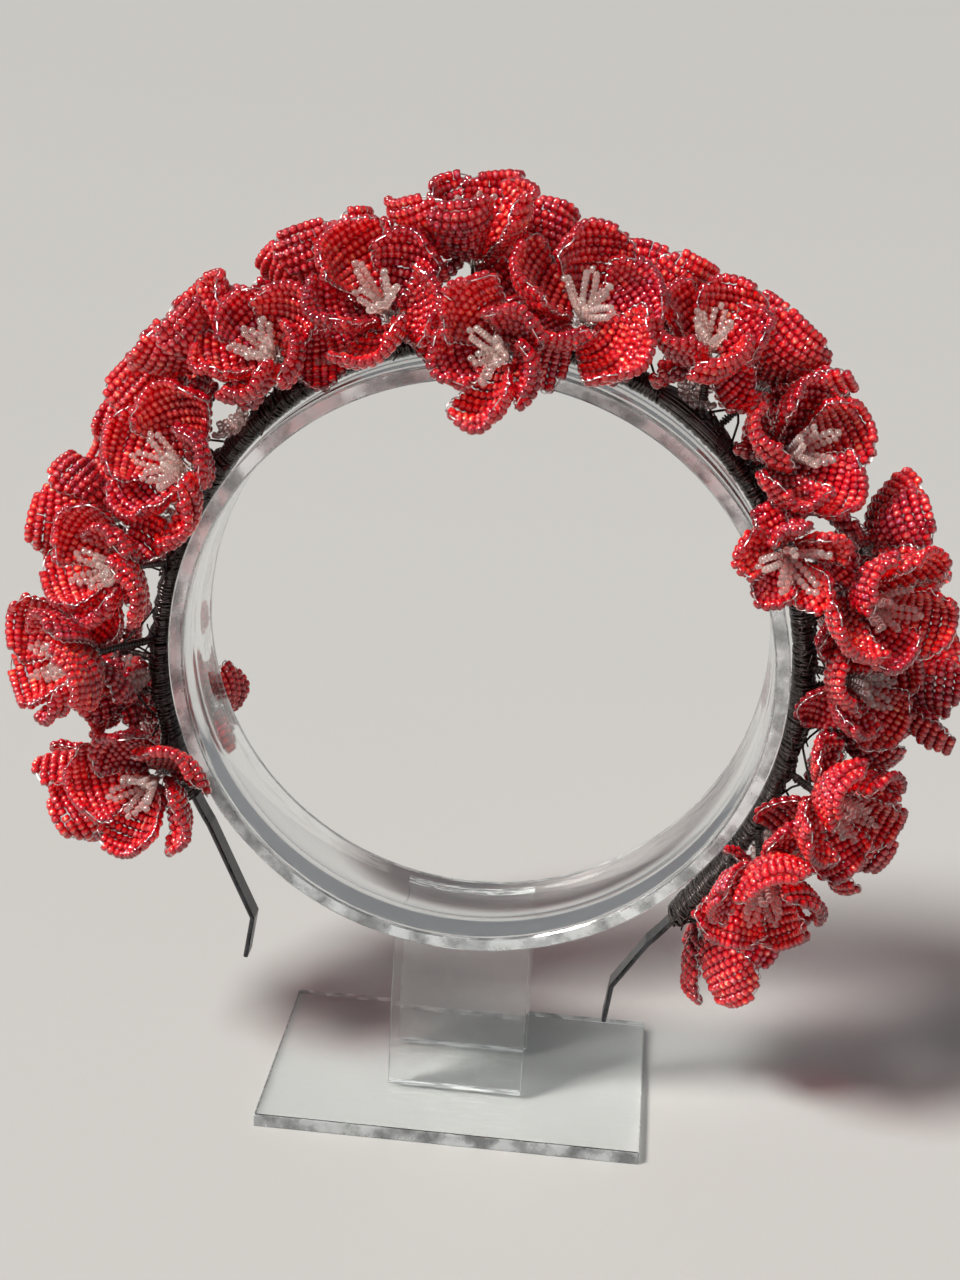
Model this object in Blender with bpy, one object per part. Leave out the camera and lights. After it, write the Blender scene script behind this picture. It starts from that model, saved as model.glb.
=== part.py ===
"""Beaded headband on its clear display stand.

A springy steel band, wound with black wire, carries 33 flowers. Each flower
has five cupped petals of red seed beads, a wire stem and a tuft of stamens of
clear beads. The headband sits round the outside of a short clear tube, which
two cradle plates hold above a flat base.

Units are metres, +Z is up, and the origin is the centre of the base's
underside. The wearer's side of the band faces the tube, and -Y is the front.
"""
import math

import bmesh
import bpy
from mathutils import Matrix, Vector

MM = 0.001
GAP = 0.3 * MM                      # clearance between pieces that touch

# clear display stand
BASE_WIDTH = 82 * MM
BASE_DEPTH = 53 * MM
SHEET = 3 * MM                      # thickness of the clear sheet
CRADLE_WIDTH = 29 * MM
CRADLE_FRONT_Y = -8.5 * MM          # middle of the front cradle plate
CRADLE_BACK_Y = 10 * MM             # middle of the back cradle plate
CRADLE_STEPS = 10                   # straight pieces in the arc of a cradle's top
RING_OUTER = 62.5 * MM              # radius
RING_WALL = 3 * MM
RING_DEPTH = 27 * MM
RING_CENTRE_Z = 102 * MM
RING_STEPS = 60

# steel band and its winding
BAND_WIDTH = 5 * MM
BAND_THICK = 1 * MM
WRAP_HALF_WIDTH = 3.8 * MM          # along Y
WRAP_HALF_THICK = 2.3 * MM          # along the band's radius
WRAP_SIDES = 8
WRAP_FROM = -122                    # degrees from the top, clockwise seen from the front
WRAP_TO = 142
BAND_Y = -0.5 * MM
BAND_STEP = 6                       # degrees between two sections
MITRE_LEAST = 0.5                   # keeps a section at a sharp bend from growing long
# angle from the top in degrees, distance of the band's middle from the tube's axis in mm
BAND_RUN = (
    (-128, 71.5), (-119, 70.2), (-110, 69.0), (-100, 67.6), (-88, 66.4), (-75, 65.5),
    (-60, 65.1), (0, 65.1), (60, 65.1), (75, 65.4), (90, 65.8), (105, 66.5),
    (120, 67.8), (132, 69.0), (138, 70.4), (142, 72.0), (148, 74.2),
)
# bare legs below the winding, as x and z in mm from the tube's axis: the bend and the tip
LEFT_LEG = ((-46.6, -65.4), (-48.0, -75.0))
RIGHT_LEG = ((32.5, -73.8), (31.4, -82.6))

# flowers
PETALS = 5
PETAL_LENGTH = 16 * MM
PETAL_HALF_WIDTH = 6.4 * MM
PETAL_CUP = 58                      # degrees from a petal's middle line to its side
PETAL_CURL = 30                     # degrees that a petal bends each way about its opening
PETAL_START = 1.5 * MM              # distance of a petal's foot from the flower's axis
BEAD = 2 * MM                       # seed bead, and so the thickness of a petal
PETAL_TWIST = 20                    # degrees that a petal turns about its own length, as in a pinwheel
FIFTH = 0.68                        # width over distance from the axis that a petal may fill
HUB_RADIUS = 2.4 * MM
HUB_TOP = 1.0 * MM
HUB_DROP = 1.4 * MM
STEM_RADIUS = 0.9 * MM
STEM_GAP = 0.5 * MM                 # clearance at a stem's foot, which is not square to the winding
OPENING_VARIES = 5                  # degrees more or less from petal to petal
TWIST_VARIES = 4                    # degrees
SIZE_VARIES = 0.06                  # share of a petal's length and width
# share of the petal's length, share of its half width
PETAL_OUTLINE = ((0.36, 0.60), (0.72, 1.0), (1.0, 0.58))
PETAL_ACROSS = (-1.0, -0.36, 0.36, 1.0)

# stamens
STAMENS = 5
STAMEN_LENGTH = 11 * MM
STAMEN_SPREAD = 20                  # degrees from the flower's axis
STAMEN_HALF_WIDTH = 1.7 * MM        # a loop is two strands of beads side by side
STAMEN_HALF_THICK = 0.9 * MM
STAMEN_FOOT_RADIUS = 1.5 * MM
STAMEN_FOOT_HEIGHT = 0.8 * MM
SPREAD_VARIES = 4                   # degrees more or less from loop to loop
LOOP_SHORTENS = 0.08                # mean share that a loop is shorter, and how much that varies
# share of the loop's length, share of its full width and thickness
STAMEN_OUTLINE = ((0.7, 1.0), (1.0, 0.55))

# angle on the band, lean to the front (90 is straight forward, negative is back), sway along
# the band, stem length in mm, turn of the first petal, opening of the petals, size
FLOWERS = (
    (-115, 72, 4, 5, -13, 50, 1.12),
    (-113, 0, -8, 13, 34, 40, 1.00),
    (-112, -80, 0, 12, 10, 42, 1.00),
    (-97, -34, 0, 13, 10, 42, 1.00),
    (-92, 44, 0, 14, 42, 42, 1.06),
    (-77, 58, 0, 11, 42, 42, 0.96),
    (-74, -12, 0, 13, 25, 40, 1.05),
    (-59, 54, 0, 5, 20, 50, 1.06),
    (-57, -24, -4, 11, 69, 42, 1.00),
    (-44, 6, 0, 13, -15, 40, 0.98),
    (-40, -56, 0, 12, 30, 42, 0.95),
    (-35, 48, 0, 9, 10, 44, 0.95),
    (-24, -20, 0, 11, 28, 42, 1.05),
    (-16, 50, 0, 10, -42, 48, 1.10),
    (-3, 9, -5, 14, 40, 39, 1.08),
    (7, 85, -16, 19, -28, 42, 0.96),
    (5, -44, 0, 12, 50, 42, 1.00),
    (13, 48, 0, 10, 15, 50, 1.12),
    (23, -28, 0, 9, -18, 44, 1.00),
    (37, 36, -30, 14, 5, 42, 0.94),
    (41, -12, 4, 12, 17, 44, 1.05),
    (50, 42, 0, 9, -10, 48, 1.04),
    (54, -54, 0, 9, 30, 44, 1.00),
    (58, 86, 9, 18, -2, 44, 0.74),
    (70, -6, 0, 14, 67, 42, 0.98),
    (72, 54, 4, 17, 46, 40, 1.04),
    (80, -52, 0, 12, 60, 42, 1.00),
    (87, 46, 0, 8, 20, 44, 0.92),
    (100, -46, 0, 12, 10, 44, 1.02),
    (107, 46, 0, 9, 72, 46, 1.04),
    (115, -22, 0, 12, 30, 44, 1.02),
    (119, 68, 26, 9, 56, 45, 1.05),
    (140, -18, -6, 6, -21, 48, 1.05),
    (-102, 4, 8, 6, 20, 42, 0.60),
    (91, -4, 0, 16, 10, 41, 0.96),
)
TUFT_LEAN = 5                       # a flower that leans less to the front keeps its stamens out of sight
UNEVEN_STEPS = (12.9, 78.2, 37.7)   # radians from one flower, petal and kind of measure to the next

# name, colour, roughness and metallic of each look
CLEAR = ("clear acrylic", (0.93, 0.95, 0.96, 1), 0.05, 0.0)
STEEL = ("black steel", (0.03, 0.03, 0.035, 1), 0.30, 0.9)
WIRE = ("black wire", (0.02, 0.02, 0.022, 1), 0.25, 0.6)
RUBY = ("ruby beads", (0.55, 0.01, 0.03, 1), 0.15, 0.0)
CRYSTAL = ("clear beads", (0.90, 0.78, 0.76, 1), 0.10, 0.0)


def clear_scene():
    for thing in list(bpy.data.objects):
        bpy.data.objects.remove(thing, do_unlink=True)


def material(look):
    name, colour, roughness, metallic = look
    found = bpy.data.materials.get(name)
    if found:
        return found
    made = bpy.data.materials.new(name)
    made.use_nodes = True
    shader = made.node_tree.nodes["Principled BSDF"]
    shader.inputs["Base Color"].default_value = colour
    shader.inputs["Roughness"].default_value = roughness
    shader.inputs["Metallic"].default_value = metallic
    made.diffuse_color = colour
    return made


def add_object(name, shape, look):
    """Make an object from a bmesh, with its faces turned outward."""
    bmesh.ops.recalc_face_normals(shape, faces=shape.faces)
    mesh = bpy.data.meshes.new(name)
    shape.to_mesh(mesh)
    shape.free()
    mesh.materials.append(material(look))
    thing = bpy.data.objects.new(name, mesh)
    bpy.context.collection.objects.link(thing)
    return thing


def skin_sections(shape, sections):
    """Join closed loops of points in order, and cap the first and the last."""
    loops = [[shape.verts.new(point) for point in section] for section in sections]
    for low, high in zip(loops, loops[1:]):
        for k in range(len(low)):
            after = (k + 1) % len(low)
            shape.faces.new((low[k], low[after], high[after], high[k]))
    shape.faces.new(list(reversed(loops[0])))
    shape.faces.new(loops[-1])


def make_base():
    shape = bmesh.new()
    bmesh.ops.create_cube(shape, size=1)
    bmesh.ops.scale(shape, verts=shape.verts, vec=(BASE_WIDTH, BASE_DEPTH, SHEET))
    bmesh.ops.translate(shape, verts=shape.verts, vec=(0, 0, SHEET / 2))
    add_object("display_base", shape, CLEAR)


def make_cradle(name, y):
    """An upright plate whose top edge is an arc that follows the tube."""
    seat = RING_OUTER + GAP
    half = CRADLE_WIDTH / 2
    outline = [(-half, SHEET + GAP), (half, SHEET + GAP)]
    for k in range(CRADLE_STEPS + 1):
        x = half - CRADLE_WIDTH * k / CRADLE_STEPS
        outline.append((x, RING_CENTRE_Z - math.sqrt(seat ** 2 - x ** 2)))
    shape = bmesh.new()
    skin_sections(shape, [[(x, side, z) for x, z in outline]
                          for side in (y - SHEET / 2, y + SHEET / 2)])
    add_object(name, shape, CLEAR)


def make_ring():
    """The short clear tube, open from front to back."""
    shape = bmesh.new()
    corners = ((RING_OUTER, -1), (RING_OUTER, 1), (RING_OUTER - RING_WALL, 1), (RING_OUTER - RING_WALL, -1))
    loops = []
    for k in range(RING_STEPS):
        angle = math.tau * k / RING_STEPS
        loops.append([shape.verts.new((r * math.sin(angle), end * RING_DEPTH / 2,
                                       RING_CENTRE_Z + r * math.cos(angle))) for r, end in corners])
    for k, loop in enumerate(loops):
        after = loops[(k + 1) % RING_STEPS]
        for j in range(4):
            shape.faces.new((loop[j], loop[(j + 1) % 4], after[(j + 1) % 4], after[j]))
    add_object("display_ring", shape, CLEAR)


def band_radius(angle):
    """Distance of the band's middle from the tube's axis, straight between the rows of BAND_RUN."""
    for (a0, r0), (a1, r1) in zip(BAND_RUN, BAND_RUN[1:]):
        if angle <= a1:
            share = max(0.0, (angle - a0) / (a1 - a0))
            return (r0 + (r1 - r0) * share) * MM
    return BAND_RUN[-1][1] * MM


def outward(angle):
    return Vector((math.sin(math.radians(angle)), 0, math.cos(math.radians(angle))))


def band_point(angle):
    return Vector((0, BAND_Y, RING_CENTRE_Z)) + band_radius(angle) * outward(angle)


def band_line():
    """The band's middle line from the left tip to the right tip."""
    arc = [band_point(a) for a in range(BAND_RUN[0][0], BAND_RUN[-1][0] + 1, BAND_STEP)]
    legs = [[Vector((x * MM, BAND_Y, RING_CENTRE_Z + z * MM)) for x, z in leg]
            for leg in (LEFT_LEG, RIGHT_LEG)]
    return list(reversed(legs[0])) + arc + legs[1]


def sections_along(line, half_width, half_thick, sides=4):
    """Loops across a line in the XZ plane: a rectangle, or a polygon of more sides."""
    loops = []
    for k, point in enumerate(line):
        before = line[max(k - 1, 0)]
        after = line[min(k + 1, len(line) - 1)]
        first = (point - before).normalized() if k else (after - point).normalized()
        second = (after - point).normalized() if k + 1 < len(line) else first
        run = (first + second).normalized()
        across = Vector((-run.z, 0, run.x)) / max(run.dot(first), MITRE_LEAST)
        loop = []
        for j in range(sides):
            turn = math.tau * (j + 0.5) / sides
            reach = math.sqrt(2) if sides == 4 else 1.0
            loop.append(point + reach * math.cos(turn) * half_thick * across
                        + Vector((0, reach * math.sin(turn) * half_width, 0)))
        loops.append(loop)
    return loops


def make_band():
    shape = bmesh.new()
    skin_sections(shape, sections_along(band_line(), BAND_WIDTH / 2, BAND_THICK / 2))
    add_object("metal_band", shape, STEEL)


def make_wrap():
    """The winding of black wire, as a sleeve with the band passing through it."""
    steps = (WRAP_TO - WRAP_FROM) // BAND_STEP
    line = [band_point(WRAP_FROM + BAND_STEP * k) for k in range(steps + 1)]
    outer = sections_along(line, WRAP_HALF_WIDTH, WRAP_HALF_THICK, WRAP_SIDES)
    inner = sections_along(line, BAND_WIDTH / 2 + GAP, BAND_THICK / 2 + GAP)
    shape = bmesh.new()
    outer = [[shape.verts.new(p) for p in loop] for loop in outer]
    inner = [[shape.verts.new(p) for p in loop] for loop in inner]
    for loops in (outer, inner):
        for low, high in zip(loops, loops[1:]):
            for k in range(len(low)):
                after = (k + 1) % len(low)
                shape.faces.new((low[k], low[after], high[after], high[k]))
    for end in (0, -1):
        join_rings(shape, outer[end], inner[end])
    add_object("wire_wrap", shape, WIRE)


def join_rings(shape, outer, inner):
    """Close the end of the sleeve between its eight-sided outside and four-sided inside."""
    for k in range(4):
        a = inner[k]
        shape.faces.new((a, outer[2 * k], outer[2 * k + 1]))
        shape.faces.new((a, outer[2 * k + 1], outer[(2 * k + 2) % WRAP_SIDES], inner[(k + 1) % 4]))


def vary(flower, petal, kind):
    """A fixed uneven number from -1 to 1 for one petal of one flower."""
    return math.sin(sum(step * k for step, k in zip(UNEVEN_STEPS, (flower, petal, kind))))


def flower_frame(row):
    """Place of a flower's hub, with its axis as local Z and its first petal along local X."""
    angle, lean, sway, stem, turn, _, _ = row
    lean, sway, turn = (math.radians(v) for v in (lean, sway, turn))
    out = outward(angle)
    along = Vector((out.z, 0, -out.x))
    front = Vector((0, -1, 0))
    axis = math.cos(sway) * (math.cos(lean) * out + math.sin(lean) * front) + math.sin(sway) * along
    first = axis.cross(along).normalized()
    side = axis.cross(first)
    x_axis = math.cos(turn) * first + math.sin(turn) * side
    y_axis = axis.cross(x_axis)
    root = (band_point(angle) + WRAP_HALF_THICK * math.cos(lean) * out
            + WRAP_HALF_WIDTH * math.sin(lean) * front)
    hub = root + stem * MM * axis
    frame = Matrix((x_axis, y_axis, axis)).transposed().to_4x4()
    frame.translation = hub
    return frame, root


def petal_surface(number, petal, opening, size):
    """A function that gives a point of a petal from s along it, t across it and the lift off its middle."""
    opening = math.radians(opening + OPENING_VARIES * vary(number, petal, 1))
    curl = math.radians(PETAL_CURL)
    length = PETAL_LENGTH * size * (1 + SIZE_VARIES * vary(number, petal, 2))
    half = PETAL_HALF_WIDTH * size * (1 + SIZE_VARIES * vary(number, petal, 3))
    twist = math.radians(PETAL_TWIST + TWIST_VARIES * vary(number, petal, 4))
    spin = math.tau * petal / PETALS
    cup = math.radians(PETAL_CUP)
    start = opening + curl
    bend = 2 * curl / length

    def place(s, share, t, lift):
        slope = start - 2 * curl * s
        out = PETAL_START + (math.cos(slope) - math.cos(start)) / bend
        height = (math.sin(start) - math.sin(slope)) / bend
        room = FIFTH * out / (1 + FIFTH * math.tan(cup / 2) * math.cos(slope))
        radius = min(half * share, room) / math.sin(cup)
        side = (radius - lift) * math.sin(cup * t)
        rise = radius - (radius - lift) * math.cos(cup * t)
        across = side * math.cos(twist) - rise * math.sin(twist)
        lifted = side * math.sin(twist) + rise * math.cos(twist)
        point = Vector((out - lifted * math.cos(slope), across, height + lifted * math.sin(slope)))
        return Matrix.Rotation(spin, 3, "Z") @ point

    return place


def hub_corner(petal, t, top):
    """A point on the rim of the hub's top or underside, t across one petal's fifth of it."""
    angle = math.tau * (petal + t / 2) / PETALS
    return Vector((math.cos(angle) * HUB_RADIUS, math.sin(angle) * HUB_RADIUS, HUB_TOP if top else -HUB_DROP))


def add_petal(shape, rim, number, petal, opening, size):
    """A cupped shell one bead thick, which grows from one side of the hub."""
    place = petal_surface(number, petal, opening, size)
    under, over = [rim[False][petal]], [rim[True][petal]]
    for s, share in PETAL_OUTLINE:
        under.append([shape.verts.new(place(s, share, t, -BEAD / 2)) for t in PETAL_ACROSS])
        over.append([shape.verts.new(place(s, share, t, BEAD / 2)) for t in PETAL_ACROSS])
    last = len(PETAL_ACROSS) - 1
    for i in range(len(PETAL_OUTLINE)):
        for j in range(last):
            shape.faces.new((under[i][j], under[i][j + 1], under[i + 1][j + 1], under[i + 1][j]))
            shape.faces.new((over[i][j], over[i + 1][j], over[i + 1][j + 1], over[i][j + 1]))
        shape.faces.new((under[i][0], under[i + 1][0], over[i + 1][0], over[i][0]))
        shape.faces.new((under[i][last], over[i][last], over[i + 1][last], under[i + 1][last]))
    for j in range(last):
        shape.faces.new((under[-1][j], under[-1][j + 1], over[-1][j + 1], over[-1][j]))


def hub_rim(shape):
    """The hub's top and bottom rims, shared by neighbouring petals at the five corners."""
    rim = {}
    for top in (False, True):
        sides = [[shape.verts.new(hub_corner(k, t, top)) for t in PETAL_ACROSS[:-1]] for k in range(PETALS)]
        rim[top] = [side + [sides[(k + 1) % PETALS][0]] for k, side in enumerate(sides)]
    return rim


def make_flower(number, row):
    """Five petals, their hub and the stem down to the winding, as one body."""
    opening, size = row[-2:]
    frame, root = flower_frame(row)
    shape = bmesh.new()
    rim = hub_rim(shape)
    for petal in range(PETALS):
        add_petal(shape, rim, number, petal, opening, size)
    shape.faces.new([v for side in rim[True] for v in side[:-1]])
    foot = -(root - frame.translation).length + STEM_GAP
    neck = [[shape.verts.new((STEM_RADIUS * math.cos(math.tau * (k - 0.5) / PETALS),
                              STEM_RADIUS * math.sin(math.tau * (k - 0.5) / PETALS), z))
             for k in range(PETALS)] for z in (-HUB_DROP - STEM_RADIUS, foot)]
    for k in range(PETALS):
        after = (k + 1) % PETALS
        shape.faces.new(rim[False][k] + [neck[0][after], neck[0][k]])
        shape.faces.new((neck[0][k], neck[0][after], neck[1][after], neck[1][k]))
    shape.faces.new(neck[1])
    flower = add_object(f"flower_{number:02d}", shape, RUBY)
    flower.matrix_world = frame


def make_stamens(number, row):
    """A tuft of five bead loops, fuller at the tip than at the foot, on a five-sided foot."""
    size = row[-1]
    frame, _ = flower_frame(row)
    shape = bmesh.new()
    low = HUB_TOP + GAP
    high = low + STAMEN_FOOT_HEIGHT

    def corner(k, radius, z):
        angle = math.tau * (k - 0.5) / STAMENS
        return Vector((radius * math.cos(angle), radius * math.sin(angle), z))

    bottom = [shape.verts.new(corner(k, STAMEN_FOOT_RADIUS, low)) for k in range(STAMENS)]
    top = [shape.verts.new(corner(k, STAMEN_FOOT_RADIUS, high)) for k in range(STAMENS)]
    middle = shape.verts.new((0, 0, high))
    shape.faces.new(bottom)
    for k in range(STAMENS):
        after = (k + 1) % STAMENS
        shape.faces.new((bottom[k], bottom[after], top[after], top[k]))
        lean = math.radians(STAMEN_SPREAD + SPREAD_VARIES * vary(number, k, 7))
        length = STAMEN_LENGTH * size * (1 - LOOP_SHORTENS + LOOP_SHORTENS * vary(number, k, 8))
        tilt = Matrix.Rotation(math.tau * k / STAMENS, 3, "Z") @ Matrix.Rotation(lean, 3, "Y")
        loops = [(middle, top[k], top[after])]
        for share, fullness in STAMEN_OUTLINE:
            wide, thick = STAMEN_HALF_WIDTH * fullness, STAMEN_HALF_THICK * fullness
            points = [tilt @ Vector((x * thick, y * wide, share * length)) for x, y in ((-1, 0), (1, -1), (1, 1))]
            loops.append([shape.verts.new(point + middle.co) for point in points])
        for lower, upper in zip(loops, loops[1:]):
            for j in range(3):
                shape.faces.new((lower[j], lower[(j + 1) % 3], upper[(j + 1) % 3], upper[j]))
        shape.faces.new(loops[-1])
    tuft = add_object(f"stamens_{number:02d}", shape, CRYSTAL)
    tuft.matrix_world = frame


def main():
    clear_scene()
    make_base()
    make_cradle("front_cradle", CRADLE_FRONT_Y)
    make_cradle("back_cradle", CRADLE_BACK_Y)
    make_ring()
    make_band()
    make_wrap()
    for number, row in enumerate(FLOWERS, 1):
        make_flower(number, row)
        if row[1] > TUFT_LEAN:
            make_stamens(number, row)


main()
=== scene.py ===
"""Looks of the beaded headband on its clear stand.

Every seed bead, edge wire and turn of winding wire is its own shape here. The
named values that place the flowers, petals and band repeat those of the part's
source, so each bead lies where its CAD solid is.
"""
import math
import random

import bmesh
import bpy
import numpy as np
from mathutils import Matrix, Vector


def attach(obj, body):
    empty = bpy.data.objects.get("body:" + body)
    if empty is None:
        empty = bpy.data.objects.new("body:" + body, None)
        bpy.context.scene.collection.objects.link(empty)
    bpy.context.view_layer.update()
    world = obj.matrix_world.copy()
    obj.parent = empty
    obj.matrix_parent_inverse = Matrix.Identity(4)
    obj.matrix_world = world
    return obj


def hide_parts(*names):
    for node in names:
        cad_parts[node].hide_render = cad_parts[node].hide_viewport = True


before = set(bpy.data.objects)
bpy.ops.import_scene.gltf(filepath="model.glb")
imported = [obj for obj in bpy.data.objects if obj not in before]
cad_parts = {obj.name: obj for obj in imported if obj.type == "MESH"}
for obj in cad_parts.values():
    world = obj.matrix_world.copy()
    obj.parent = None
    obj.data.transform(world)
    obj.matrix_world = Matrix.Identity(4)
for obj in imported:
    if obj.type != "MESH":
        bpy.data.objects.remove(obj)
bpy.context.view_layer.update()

MM = 0.001

# Shared with the part's source
GAP = 0.3 * MM
BASE_WIDTH, BASE_DEPTH, SHEET = 82 * MM, 53 * MM, 3 * MM
CRADLE_WIDTH = 29 * MM
CRADLE_FRONT_Y, CRADLE_BACK_Y = -8.5 * MM, 10 * MM
RING_OUTER, RING_WALL, RING_DEPTH, RING_CENTRE_Z = 62.5 * MM, 3 * MM, 27 * MM, 102 * MM
BAND_WIDTH, BAND_THICK = 5 * MM, 1 * MM
WRAP_HALF_WIDTH, WRAP_HALF_THICK = 3.8 * MM, 2.3 * MM
WRAP_FROM, WRAP_TO = -122, 142
BAND_Y = -0.5 * MM
BAND_RUN = (
    (-128, 71.5), (-119, 70.2), (-110, 69.0), (-100, 67.6), (-88, 66.4), (-75, 65.5),
    (-60, 65.1), (0, 65.1), (60, 65.1), (75, 65.4), (90, 65.8), (105, 66.5),
    (120, 67.8), (132, 69.0), (138, 70.4), (142, 72.0), (148, 74.2),
)
LEFT_LEG = ((-46.6, -65.4), (-48.0, -75.0))
RIGHT_LEG = ((32.5, -73.8), (31.4, -82.6))
PETALS = 5
PETAL_LENGTH, PETAL_HALF_WIDTH = 16 * MM, 6.4 * MM
PETAL_CUP, PETAL_CURL, PETAL_TWIST = 58, 30, 20
PETAL_START = 1.5 * MM
OPENING_VARIES, TWIST_VARIES, SIZE_VARIES = 5, 4, 0.06
HUB_TOP, HUB_DROP = 1.0 * MM, 1.4 * MM
STEM_RADIUS = 0.9 * MM
STAMENS = 5
STAMEN_LENGTH, STAMEN_SPREAD = 11 * MM, 20
STAMEN_FOOT_HEIGHT = 0.8 * MM
SPREAD_VARIES, LOOP_SHORTENS = 4, 0.08
TUFT_LEAN = 5
UNEVEN_STEPS = (12.9, 78.2, 37.7)
# angle on the band, lean to the front, sway along the band, stem in mm, turn, opening, size
FLOWERS = (
    (-115, 72, 4, 5, -13, 50, 1.12),
    (-113, 0, -8, 13, 34, 40, 1.00),
    (-112, -80, 0, 12, 10, 42, 1.00),
    (-97, -34, 0, 13, 10, 42, 1.00),
    (-92, 44, 0, 14, 42, 42, 1.06),
    (-77, 58, 0, 11, 42, 42, 0.96),
    (-74, -12, 0, 13, 25, 40, 1.05),
    (-59, 54, 0, 5, 20, 50, 1.06),
    (-57, -24, -4, 11, 69, 42, 1.00),
    (-44, 6, 0, 13, -15, 40, 0.98),
    (-40, -56, 0, 12, 30, 42, 0.95),
    (-35, 48, 0, 9, 10, 44, 0.95),
    (-24, -20, 0, 11, 28, 42, 1.05),
    (-16, 50, 0, 10, -42, 48, 1.10),
    (-3, 9, -5, 14, 40, 39, 1.08),
    (7, 85, -16, 19, -28, 42, 0.96),
    (5, -44, 0, 12, 50, 42, 1.00),
    (13, 48, 0, 10, 15, 50, 1.12),
    (23, -28, 0, 9, -18, 44, 1.00),
    (37, 36, -30, 14, 5, 42, 0.94),
    (41, -12, 4, 12, 17, 44, 1.05),
    (50, 42, 0, 9, -10, 48, 1.04),
    (54, -54, 0, 9, 30, 44, 1.00),
    (58, 86, 9, 18, -2, 44, 0.74),
    (70, -6, 0, 14, 67, 42, 0.98),
    (72, 54, 4, 17, 46, 40, 1.04),
    (80, -52, 0, 12, 60, 42, 1.00),
    (87, 46, 0, 8, 20, 44, 0.92),
    (100, -46, 0, 12, 10, 44, 1.02),
    (107, 46, 0, 9, 72, 46, 1.04),
    (115, -22, 0, 12, 30, 44, 1.02),
    (119, 68, 26, 9, 56, 45, 1.05),
    (140, -18, -6, 6, -21, 48, 1.05),
    (-102, 4, 8, 6, 20, 42, 0.60),
    (91, -4, 0, 16, 10, 41, 0.96),
)

# Beads and wires
BEAD_RADIUS = 1.05 * MM
BEAD_HALF_LENGTH = 0.70 * MM        # along the hole
BEAD_PITCH = 1.42 * MM              # along a row
ROW_PITCH = 1.86 * MM               # from row to row
# sides, then place along the hole and share of the radius for each ring
PETAL_BEAD = (7, ((-1.0, 0.80), (0.0, 1.0), (1.0, 0.80)))
STAMEN_BEAD = (6, ((-1.0, 0.66), (0.0, 1.0), (1.0, 0.66)))
STAMEN_SCALE = 0.75
STAMEN_PITCH = 1.24 * MM
STAMEN_STRANDS = 0.98 * MM          # from a loop's middle to each of its strands
STAMEN_LEAN = 1.3                   # the loops lean out more than the solid ones
FIRST_ROW = 1.8 * MM                # distance along the petal
# share of the petal's length, share of its half width
PETAL_OUTLINE = (
    (0.0, 0.22), (0.15, 0.42), (0.36, 0.68), (0.55, 0.92), (0.72, 1.0), (0.86, 0.90), (1.0, 0.56),
)
WIDER = 1.18                        # the rows' ends stand out past the solid
UNEVEN = 0.55 * MM                  # how far a petal's outer rows wander off its surface
BEAD_JITTER = 0.06 * MM
ROOM = 0.90                         # width over distance from the axis that the rows may fill
EDGE_WIRE = 0.13 * MM               # radius of the wire that strings the petals
EDGE_BULGE = 0.55 * MM              # how far it stands out past the rows' ends
WIRE = 0.30 * MM                    # radius of the black winding wire
BRACE = 0.27 * MM                   # radius of the wires beside the stems
STEM_WIRE = 0.26 * MM               # radius of the wire wound round the stems
STEM_PITCH = 0.62 * MM
WIND_PITCH = 0.70 * MM              # of the close first layer on the band
LOOSE_PITCH = 3.1 * MM              # of the loose second layer
WINDING_RADIUS = 66 * MM            # of the band, for counting turns
COLLAR_TURNS = 7                    # where a stem is tied on
COLLAR_HALF_LENGTH = 2.6 * MM
WIRE_ENDS = 5
# the two low petals under a flower: opening, how far it varies, size, and its painted shade, a fixed dark
# tone for lying under the flower
LOW_OPENING, LOW_VARIES, LOW_SIZE, LOW_PAINTED_SHADE = 118, 9, 0.72, 0.2
FEWEST_ROWS = 3                     # a low petal cut shorter than this is left out
REACH = 1.2 * MM                    # room that a low petal's bead keeps from the tube and winding
TUFT_BEADS = 4                      # along each strand of a loop between the flowers
TUFT_FAN = 46                       # degrees that its loops fan out to each side
# angle on the band, lean to the front, loops
SIDE_TUFTS = (
    (-98, 40, 4), (-68, 50, 3), (-48, 46, 4), (-27, 60, 3), (4, 40, 3), (34, 30, 4), (119.5, 55, 6),
)
LAID_WIRES = 12
LAID_FROM, LAID_TO = 29, 45         # degrees on the band
# the small flower at the front right has narrow petals round a large open tuft
OPEN_FLOWER = 24
NARROW_PETALS, WIDE_STAMENS, LONG_STAMENS = 0.74, 1.45, 1.30

PLAIN_TONE = (0.5, 0.5, 0.5)        # of the pieces that aren't beads

rng = random.Random(11)


def vary(flower, petal, kind):
    """A fixed uneven number from -1 to 1 for one petal of one flower."""
    return math.sin(sum(step * k for step, k in zip(UNEVEN_STEPS, (flower, petal, kind))))


def band_radius(angle):
    for (a0, r0), (a1, r1) in zip(BAND_RUN, BAND_RUN[1:]):
        if angle <= a1:
            share = max(0.0, (angle - a0) / (a1 - a0))
            return (r0 + (r1 - r0) * share) * MM
    return BAND_RUN[-1][1] * MM


def outward(angle):
    return Vector((math.sin(math.radians(angle)), 0, math.cos(math.radians(angle))))


def band_point(angle):
    return Vector((0, BAND_Y, RING_CENTRE_Z)) + band_radius(angle) * outward(angle)


def round_band(angle, turn, thick, wide):
    """A point of the oval round the band.

    turn is 0 on the outer side. It grows to the back, or to the front where wide is negative.
    """
    return (band_point(angle) + thick * math.cos(turn) * outward(angle)
            + Vector((0, wide * math.sin(turn), 0)))


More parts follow.
